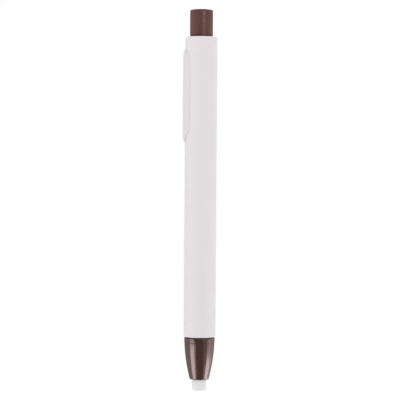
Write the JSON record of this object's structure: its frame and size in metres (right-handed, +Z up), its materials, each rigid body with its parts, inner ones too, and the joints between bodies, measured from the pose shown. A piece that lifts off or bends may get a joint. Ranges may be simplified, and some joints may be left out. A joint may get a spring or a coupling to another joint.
{
  "type": "click eraser pen",
  "caption": "Slim click eraser pen: white barrel with a pocket clip, brown push button and nose cone, and a clutch that grips and feeds a round white eraser.",
  "frame": {"origin": "centre of the eraser's rubbing face, at the pen's lowest point", "axes": "+Z up the pen's axis, from the eraser to the push button; the clip is on the -X side, and Y is across the clip"},
  "size_m": [0.0123, 0.0114, 0.135],
  "materials": {
    "barrel_white_plastic": "fine satin moulded",
    "clip_white_plastic": "fine satin moulded",
    "button_brown_plastic": "satin moulded",
    "nose_gloss_brown": "high gloss",
    "eraser_white_rubber": "dry matt",
    "inner_natural_plastic": "natural moulded",
    "ring_brass": "turned",
    "spring_steel": "drawn wire",
    "friction_ring_rubber": "matt"
  },
  "bodies": {
    "barrel_body": {"barrel": "barrel_white_plastic", "nose_cone": "nose_gloss_brown", "tip_guide": "inner_natural_plastic", "tip_friction_ring": "friction_ring_rubber", "return_spring": "spring_steel"},
    "plunger": {"push_button": "button_brown_plastic", "eraser_tube": "inner_natural_plastic", "chuck_body": "inner_natural_plastic"},
    "jaw_1": {"chuck_jaw_1": "inner_natural_plastic"},
    "jaw_2": {"chuck_jaw_2": "inner_natural_plastic"},
    "jaw_3": {"chuck_jaw_3": "inner_natural_plastic"},
    "clutch_ring": {"chuck_ring": "ring_brass"},
    "eraser": {"eraser_stick": "eraser_white_rubber"},
    "pocket_clip_body": {"clip": "clip_white_plastic"}
  },
  "joints": [
    {"name": "button_press", "type": "slide", "parent": "barrel_body", "child": "plunger", "axis": [0, 0, -1], "range_m": [0, 0.004], "stiffness_N_per_m": 500, "springref_m": -0.001, "deforming": ["return_spring"]},
    {"name": "jaw_1_open", "type": "hinge", "parent": "plunger", "child": "jaw_1", "pos_m": [-0.00298, 0, 0.036], "axis": [0, 1, 0], "range_deg": [0, 1.5]},
    {"name": "jaw_2_open", "type": "hinge", "parent": "plunger", "child": "jaw_2", "pos_m": [0.00149, -0.00258, 0.036], "axis": [-0.866, -0.5, 0], "range_deg": [0, 1.5]},
    {"name": "jaw_3_open", "type": "hinge", "parent": "plunger", "child": "jaw_3", "pos_m": [0.00149, 0.00258, 0.036], "axis": [0.866, -0.5, 0], "range_deg": [0, 1.5]},
    {"name": "ring_slide", "type": "slide", "parent": "barrel_body", "child": "clutch_ring", "axis": [0, 0, -1], "range_m": [0, 0.0012]},
    {"name": "eraser_feed", "type": "slide", "parent": "barrel_body", "child": "eraser", "axis": [0, 0, -1], "range_m": [-0.0039, 0.06]},
    {"name": "clip_flex", "type": "hinge", "parent": "barrel_body", "child": "pocket_clip_body", "pos_m": [-0.00498, 0, 0.1195], "axis": [0, 1, 0], "range_deg": [0, 3], "stiffness_Nm_per_rad": 1}
  ],
  "couplings": [
    {"joint": "ring_slide", "follows": "button_press", "ratio": 0.3},
    {"joint": "jaw_1_open", "follows": "button_press", "rad_per_m": 6.5},
    {"joint": "jaw_2_open", "follows": "button_press", "rad_per_m": 6.5},
    {"joint": "jaw_3_open", "follows": "button_press", "rad_per_m": 6.5}
  ]
}
